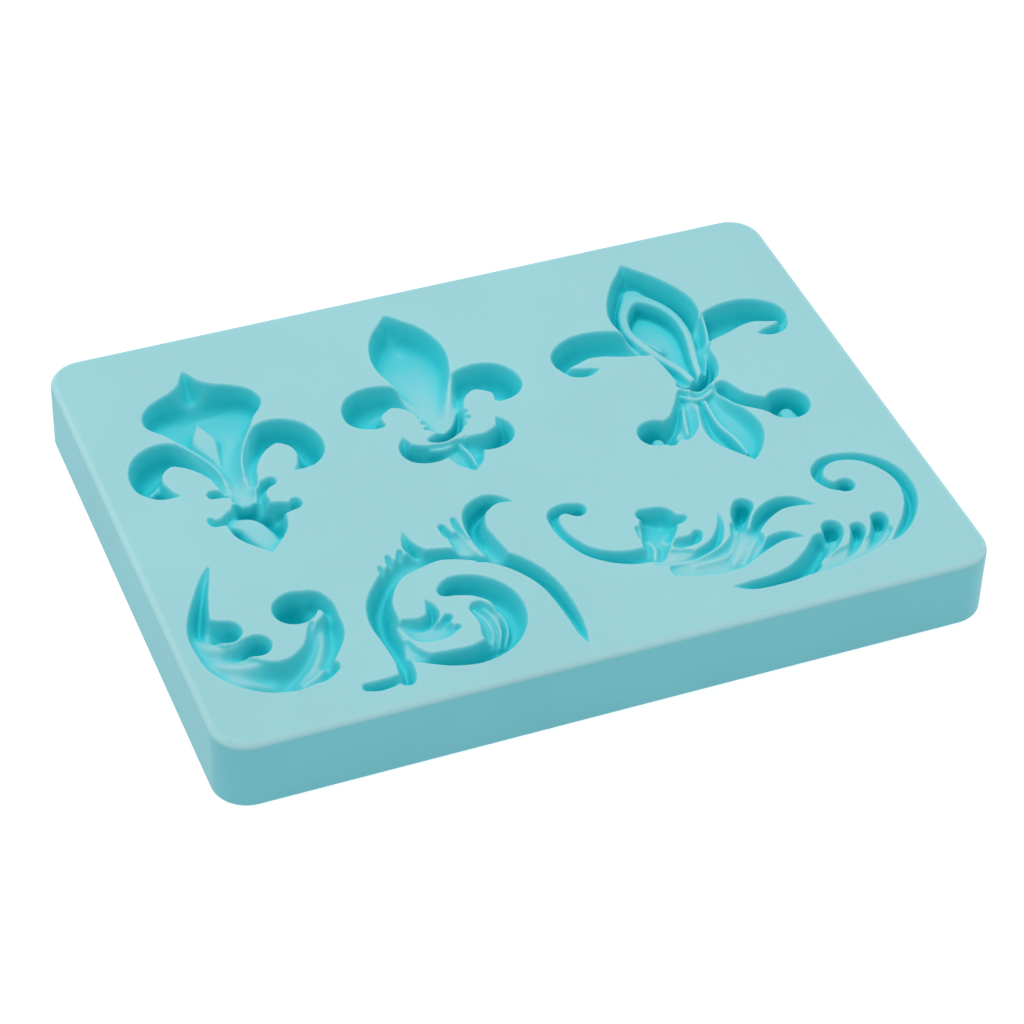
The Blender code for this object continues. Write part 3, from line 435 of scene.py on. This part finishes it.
def long_scroll():
    cut = Relief(-1.8, 60.5, -43.8, -11.0)
    cut.trough((5.6, -15.1, 1.7, 4.4), (3.7, -14.2, 1.3, 4.4), (1.7, -14.9, 1.2, 4.2),
               (1.1, -17.2, 1.0, 4.0), (1.6, -20.8, 1.0, 3.8), (3.6, -24.8, 1.2, 3.6),
               (6.6, -27.2, 1.5, 3.4), (9.8, -28.4, 1.8, 2.8), (12.8, -28.6, 2.0, 1.8))
    cut.trough((13.4, -29.0, 1.9, 1.4), (14.6, -26.0, 2.6, 1.8), (16.2, -22.8, 3.2, 2.8),
               (17.0, -21.4, 2.9, 3.2), rise=0.25)
    cut.trough((15.0, -19.7, 1.5, 4.0), (17.2, -20.4, 1.7, 4.2), (19.4, -22.4, 1.3, 3.6),
               (20.6, -22.4, 0.8, 3.0))
    cut.trough((12.6, -24.4, 0.6, 2.2), (12.9, -22.4, 0.7, 2.4))
    cut.trough((17.6, -27.8, 1.4, 1.4), (20.2, -27.6, 1.3, 2.0), (21.2, -26.6, 1.0, 2.4))
    cut.trough((13.2, -30.6, 1.4, 0.5), (15.6, -30.4, 1.8, 0.6), (18.2, -31.2, 1.6, 0.6), rise=0.2)
    cut.trough((15.0, -33.2, 1.4, 0.7), (19.0, -33.8, 2.4, 1.0), (24.4, -33.4, 3.0, 1.3),
               (28.2, -30.4, 2.8, 1.6), rise=0.3)
    cut.trough((16.0, -31.4, 0.6, 1.4), (19.6, -30.9, 1.0, 2.4), (23.0, -29.4, 1.1, 3.2),
               (25.0, -26.8, 0.8, 3.2), (25.9, -24.4, 0.45, 2.6), (26.1, -22.8, 0.1, 1.0))
    cut.trough((14.4, -34.2, 0.6, 1.4), (18.6, -35.0, 0.8, 2.0), (23.0, -33.8, 0.9, 2.6),
               (25.8, -30.4, 0.8, 2.8), (27.4, -26.8, 0.9, 3.0))
    cut.trough((28.2, -27.6, 1.2, 2.4), (29.4, -24.8, 1.8, 3.4), (30.6, -23.0, 1.9, 4.8), rise=0.3)
    cut.trough((24.0, -35.8, 0.5, 1.6), (27.0, -32.8, 0.8, 2.6), (29.6, -29.4, 1.0, 3.0),
               (32.2, -26.4, 1.5, 3.8), (35.4, -24.6, 1.6, 4.4), (38.4, -24.7, 1.3, 3.8),
               (41.6, -26.6, 0.2, 1.4))
    cut.trough((26.6, -35.0, 0.6, 1.4), (29.6, -33.0, 1.1, 2.6), (32.4, -31.8, 1.2, 3.2),
               (34.6, -31.8, 1.0, 2.8), (36.7, -33.0, 0.2, 1.0))
    cut.trough((21.4, -39.8, 0.2, 1.2), (24.4, -40.5, 1.1, 3.2), (28.4, -40.5, 1.4, 3.8),
               (32.4, -39.8, 1.8, 3.8), (36.2, -37.8, 2.2, 3.4), (39.0, -34.8, 2.0, 3.4))
    cut.trough((32.0, -40.6, 1.0, 1.2), (37.6, -39.6, 1.6, 0.8), (42.6, -38.6, 1.8, 0.6),
               (46.8, -37.4, 1.6, 0.6), (49.6, -35.6, 1.2, 0.8), rise=0.3)
    pods = ((41.6, -32.5, 1.9), (45.4, -33.8, 1.4), (49.6, -32.9, 1.6))
    for top_x, top_y, wide in pods:
        cut.trough((top_x - 5.0, top_y - 6.0, 0.6, 1.6), (top_x - 2.2, top_y - 3.6, 0.8 * wide, 2.4),
                   (top_x - 0.4, top_y - 1.2, wide, 3.6), (top_x, top_y, wide, 4.4), rise=0.3)
    cut.trough((48.1, -23.9, 1.75, 4.6), (47.9, -23.9, 1.7, 4.6))
    cut.trough((48.1, -23.9, 1.5, 4.4), (46.1, -23.4, 1.1, 4.2), (44.9, -21.4, 1.05, 4.2),
               (45.3, -19.2, 1.2, 4.4), (47.4, -17.5, 1.1, 4.2), (50.4, -17.4, 1.0, 4.2),
               (53.6, -18.8, 1.1, 4.2), (56.2, -21.8, 1.3, 4.4), (57.3, -25.6, 1.3, 4.4),
               (56.7, -29.8, 1.3, 4.2), (54.6, -33.6, 1.2, 3.8), (51.8, -36.6, 0.9, 3.0),
               (49.6, -38.2, 0.4, 1.6))
    cut.rib((17.4, -23.2, 0.8, 2.4), (16.0, -25.4, 0.9, 1.4), (16.8, -28.0, 0.9, 0.8),
            (15.4, -30.6, 0.7, 0.4), sharpness=1.0)
    cut.rib((14.0, -24.6, 0.7, 1.4), (13.9, -27.0, 0.7, 0.9), (12.8, -29.4, 0.6, 0.5), sharpness=1.0)
    cut.rib((30.2, -25.8, 1.1, 1.6), (28.7, -28.4, 1.1, 1.2), (26.8, -31.4, 0.9, 0.9),
            (24.0, -34.4, 0.6, 0.7), sharpness=2.0)
    cut.rib((31.0, -28.4, 0.4, 1.2), (28.4, -31.6, 0.5, 0.8), (25.4, -35.0, 0.4, 0.6), sharpness=1.0)
    cut.rib((27.4, -25.8, 0.3, 1.2), (26.4, -29.4, 0.4, 0.8), (23.6, -32.4, 0.5, 0.7),
            (18.0, -33.0, 0.5, 0.6), sharpness=1.0)
    for top_x, top_y, wide in pods:
        cut.rib((top_x - 0.2, top_y - 1.8, 0.55 * wide, 1.6),
                (top_x - 1.6, top_y - 4.0, 0.5 * wide, 1.1),
                (top_x - 4.4, top_y - 6.2, 0.35 * wide, 0.7), sharpness=1.6)
    cut.soften(0.25)
    return cut


def new_object(bm, name):
    """Puts a bmesh into the scene as an object."""
    mesh = bpy.data.meshes.new(name)
    bm.to_mesh(mesh)
    bm.free()
    made = bpy.data.objects.new(name, mesh)
    bpy.context.scene.collection.objects.link(made)
    return made


def round_edges(bm, edges, radius, steps):
    bmesh.ops.bevel(bm, geom=edges, offset=radius * MM, segments=steps, profile=0.5, affect="EDGES",
                    clamp_overlap=True, material=-1)


def edges_at(bm, height):
    return [e for e in bm.edges if all(abs(v.co.z - height) < 1e-6 for v in e.verts)]


def plain_slab():
    """The slab before its cavities are cut, with its corners and edges rounded."""
    bm = bmesh.new()
    bmesh.ops.create_cube(bm, size=MM)
    bmesh.ops.scale(bm, verts=bm.verts, vec=(LENGTH, WIDTH, THICKNESS))
    bmesh.ops.translate(bm, verts=bm.verts, vec=(0.0, 0.0, THICKNESS * MM / 2))
    upright = [e for e in bm.edges if abs(e.verts[0].co.z - e.verts[1].co.z) > THICKNESS * MM / 2]
    round_edges(bm, upright, CORNER_RADIUS, 16)
    round_edges(bm, edges_at(bm, THICKNESS * MM), TOP_ROUNDING, 8)
    round_edges(bm, edges_at(bm, 0.0), BASE_ROUNDING, 4)
    return new_object(bm, "casting_mould")


def settle(piece):
    """Applies a piece's modifiers to its mesh."""
    graph = bpy.context.evaluated_depsgraph_get()
    mesh = bpy.data.meshes.new_from_object(piece.evaluated_get(graph))
    piece.modifiers.clear()
    old = piece.data
    piece.data = mesh
    bpy.data.meshes.remove(old)


def make_mould():
    """The slab with its six cavities cut, under the limit of triangles, with its levels of painted light
    and shade stored.
    """
    mould = plain_slab()
    ornaments = (spade_lily, plain_lily, double_lily, short_scroll, round_scroll, long_scroll)
    reliefs = [ornament() for ornament in ornaments]
    for relief in reliefs:
        form = new_object(relief.form(), "cavity_form")
        cut = mould.modifiers.new("cavity", "BOOLEAN")
        cut.operation = "DIFFERENCE"
        cut.solver = "MANIFOLD"
        cut.object = form
        settle(mould)
        bpy.data.objects.remove(form, do_unlink=True)
    triangles = sum(len(face.vertices) - 2 for face in mould.data.polygons)
    if triangles > MOST_TRIANGLES:
        thin = mould.modifiers.new("thin", "DECIMATE")
        thin.ratio = MOST_TRIANGLES / triangles
        settle(mould)
    mould.data.shade_smooth()
    weighted = mould.modifiers.new("flat faces", "WEIGHTED_NORMAL")
    weighted.mode = "FACE_AREA"
    weighted.weight = 60
    settle(mould)
    store_painted_shading(mould.data, reliefs)
    return mould


def store_painted_shading(mesh, reliefs):
    """Writes each vertex's level of painted light and shade: plain on the top, painted shade in the
    cavities and down the sides, and a painted highlight along the rounded top edge.
    """
    places = np.empty(len(mesh.vertices) * 3)
    mesh.vertices.foreach_get("co", places)
    x, y, z = (places.reshape(-1, 3) / MM).T
    below_top = (THICKNESS - z) / THICKNESS
    on_rim = (np.abs(x) > LENGTH / 2 - RIM_BAND) | (np.abs(y) > WIDTH / 2 - RIM_BAND)
    # painted highlight just over the rounded top edge, then painted shade down the sides
    rim_painted_highlight_and_shade = np.interp(below_top, (0.0, 0.015, 0.05, 0.09), (OPEN_TOP, TOP_EDGE_PAINTED_HIGHLIGHT, TOP_EDGE_PAINTED_HIGHLIGHT, SIDE_PAINTED_SHADE))
    painted_levels = np.where(on_rim, rim_painted_highlight_and_shade, OPEN_TOP)
    in_cavity = ~on_rim & (below_top > 0.001) & (z > UNDERSIDE_BAND)
    # painted shade in the cavities, from how much of the sky their walls hide
    for relief in reliefs:
        col = (x - relief.xs[0]) / GRID
        row = (y - relief.ys[0]) / GRID
        inside = in_cavity & (col >= 0) & (col < len(relief.xs) - 1)
        inside &= (row >= 0) & (row < len(relief.ys) - 1)
        left, front = col[inside].astype(int), row[inside].astype(int)
        right_share, back_share = col[inside] - left, row[inside] - front
        grid = relief.painted_shading()
        near = grid[front, left] * (1 - right_share) + grid[front, left + 1] * right_share
        far = grid[front + 1, left] * (1 - right_share) + grid[front + 1, left + 1] * right_share
        here = near * (1 - back_share) + far * back_share
        painted_levels[inside] = np.maximum(painted_levels[inside], here)
    layer = mesh.attributes.new("painted_shading", "FLOAT", "POINT")
    layer.data.foreach_set("value", painted_levels.astype(np.float32))


def silicone():
    """Satin turquoise silicone, with light and shade painted into its base colour: painted shade turns the
    cavities, creases and steep walls a deeper teal and the sides darker, and a painted highlight lightens
    the rounded top edge.
    """
    material = bpy.data.materials.new("turquoise_silicone")
    material.use_nodes = True
    nodes, links = material.node_tree.nodes, material.node_tree.links
    shader = nodes["Principled BSDF"]

    # the stored level picks the base colour from the ramp of painted light and shade
    painted_shading = nodes.new("ShaderNodeAttribute")
    painted_shading.attribute_name = "painted_shading"
    tone = nodes.new("ShaderNodeValToRGB")
    tone.color_ramp.interpolation = "LINEAR"
    stops = tone.color_ramp.elements
    least, *between, most = COLOURS
    stops[0].position, stops[-1].position = least, most
    for share in between:
        stops.new(share)
    for stop, colour in zip(stops, COLOURS.values()):
        stop.color = (*colour, 1.0)
    links.new(painted_shading.outputs["Fac"], tone.inputs["Fac"])

    place = nodes.new("ShaderNodeTexCoord")
    cloud = nodes.new("ShaderNodeTexNoise")
    cloud.inputs["Scale"].default_value = 45.0
    cloud.inputs["Detail"].default_value = 2.0
    links.new(place.outputs["Object"], cloud.inputs["Vector"])
    mottle = nodes.new("ShaderNodeMapRange")
    mottle.inputs["From Min"].default_value = 0.3
    mottle.inputs["From Max"].default_value = 0.7
    mottle.inputs["To Min"].default_value = 0.975
    mottle.inputs["To Max"].default_value = 1.025
    links.new(cloud.outputs["Fac"], mottle.inputs["Value"])
    tint = nodes.new("ShaderNodeVectorMath")
    tint.operation = "SCALE"
    links.new(tone.outputs["Color"], tint.inputs[0])
    links.new(mottle.outputs["Result"], tint.inputs["Scale"])
    links.new(tint.outputs["Vector"], shader.inputs["Base Color"])

    grain = nodes.new("ShaderNodeTexNoise")
    grain.inputs["Scale"].default_value = 1800.0
    grain.inputs["Detail"].default_value = 1.0
    links.new(place.outputs["Object"], grain.inputs["Vector"])
    relief = nodes.new("ShaderNodeBump")
    relief.inputs["Strength"].default_value = 0.04
    relief.inputs["Distance"].default_value = 0.0002
    links.new(grain.outputs["Fac"], relief.inputs["Height"])
    links.new(relief.outputs["Normal"], shader.inputs["Normal"])

    shader.inputs["Roughness"].default_value = 0.4
    shader.inputs["Specular IOR Level"].default_value = 0.13
    shader.inputs["Subsurface Weight"].default_value = 0.35
    shader.inputs["Subsurface Radius"].default_value = (0.4, 1.0, 1.0)
    shader.inputs["Subsurface Scale"].default_value = 0.0012
    return material


def studio():
    """A pale floor, even white surroundings and one soft lamp overhead."""
    bm = bmesh.new()
    bmesh.ops.create_circle(bm, cap_ends=True, segments=64, radius=1.5)
    floor = new_object(bm, "floor")
    paint = bpy.data.materials.new("pale_floor")
    paint.use_nodes = True
    white = paint.node_tree.nodes["Principled BSDF"]
    white.inputs["Base Color"].default_value = (0.25, 0.25, 0.25, 1.0)
    white.inputs["Roughness"].default_value = 0.9
    white.inputs["Emission Color"].default_value = (1.0, 1.0, 1.0, 1.0)
    white.inputs["Emission Strength"].default_value = 0.85
    floor.data.materials.append(paint)

    world = bpy.data.worlds.new("studio")
    world.use_nodes = True
    world.node_tree.nodes["Background"].inputs["Color"].default_value = (1.0, 1.0, 1.0, 1.0)
    world.node_tree.nodes["Background"].inputs["Strength"].default_value = 0.88
    bpy.context.scene.world = world

    light = bpy.data.lights.new("overhead", "AREA")
    light.shape = "DISK"
    light.size = 0.35
    light.energy = 4.6
    lamp = bpy.data.objects.new("overhead", light)
    lamp.location = (-0.08, 0.25, 0.9)
    lamp.rotation_euler = (-lamp.location).to_track_quat("-Z", "Y").to_euler()
    bpy.context.scene.collection.objects.link(lamp)


def camera():
    """A long lens from the front left, high enough to look into the cavities."""
    azimuth, elevation, roll = (math.radians(angle) for angle in (-22.83, 41.14, 2.05))
    distance, shift_right, shift_up = 0.54832, 0.00052, -0.00857
    back = Vector((math.sin(azimuth) * math.cos(elevation), -math.cos(azimuth) * math.cos(elevation),
                   math.sin(elevation)))
    level = (-back).cross(Vector((0, 0, 1))).normalized()
    upward = level.cross(-back)
    right = math.cos(roll) * level + math.sin(roll) * upward
    up = -math.sin(roll) * level + math.cos(roll) * upward
    target = Vector((0.0, 0.0, THICKNESS * MM))
    place = target + distance * back + shift_right * right + shift_up * up
    lens = bpy.data.cameras.new("camera")
    lens.sensor_width = 36.0
    lens.lens = 120.81
    viewer = bpy.data.objects.new("camera", lens)
    viewer.matrix_world = Matrix.Translation(place) @ Matrix((right, up, back)).transposed().to_4x4()
    bpy.context.scene.collection.objects.link(viewer)
    bpy.context.scene.camera = viewer


mould = make_mould()
mould.data.materials.clear()
mould.data.materials.append(silicone())
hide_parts("mould_body")
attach(mould, "root")
studio()
camera()
bpy.context.scene.view_settings.view_transform = "Standard"
